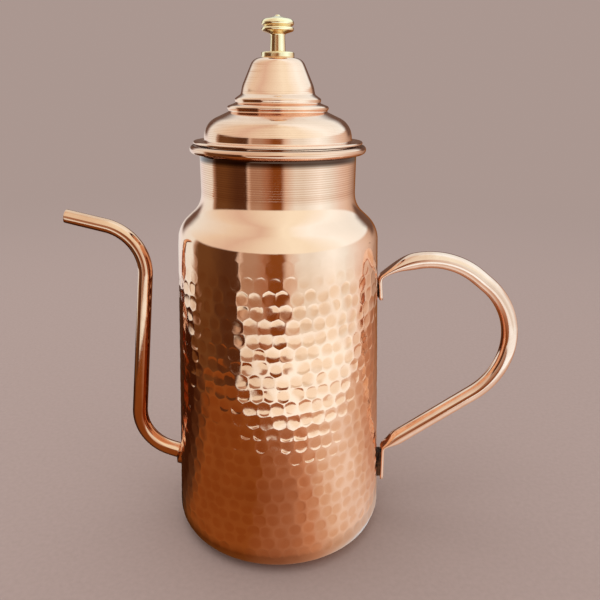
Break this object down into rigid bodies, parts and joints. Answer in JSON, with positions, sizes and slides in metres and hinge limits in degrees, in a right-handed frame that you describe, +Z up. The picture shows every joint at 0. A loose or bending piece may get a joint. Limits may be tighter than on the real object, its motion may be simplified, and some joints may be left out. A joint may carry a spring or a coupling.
{
  "type": "oil dispenser",
  "caption": "Tall hammered copper oil pot with a bent pouring spout, a round tube handle and a lift-off domed lid with a brass knob.",
  "frame": {"origin": "centre of the base on the surface it stands on", "axes": "+Z up along the pot's axis, +X towards the handle, -X towards the spout"},
  "size_m": [0.2161, 0.1038, 0.2414],
  "materials": {
    "copper": "polished copper sheet and tube, hammered on the wall",
    "brass": "turned and polished",
    "solder": "dull, darkened",
    "steel": "plain"
  },
  "bodies": {
    "pot": {"body_shell": "copper", "rim_wire": "steel", "spout_tube": "copper", "spout_solder_ring": "solder", "handle_tube": "copper", "handle_solder_upper": "solder", "handle_solder_lower": "solder"},
    "lid": {"lid_shell": "copper", "lid_plug_ring": "copper", "lid_plug_solder": "solder", "knob": "brass", "knob_seat_washer": "brass", "knob_inner_washer": "steel", "knob_screw": "steel"}
  },
  "joints": [
    {"name": "lid_lift", "type": "slide", "parent": "pot", "child": "lid", "axis": [0, 0, 1], "range_m": [0, 0.07]}
  ]
}
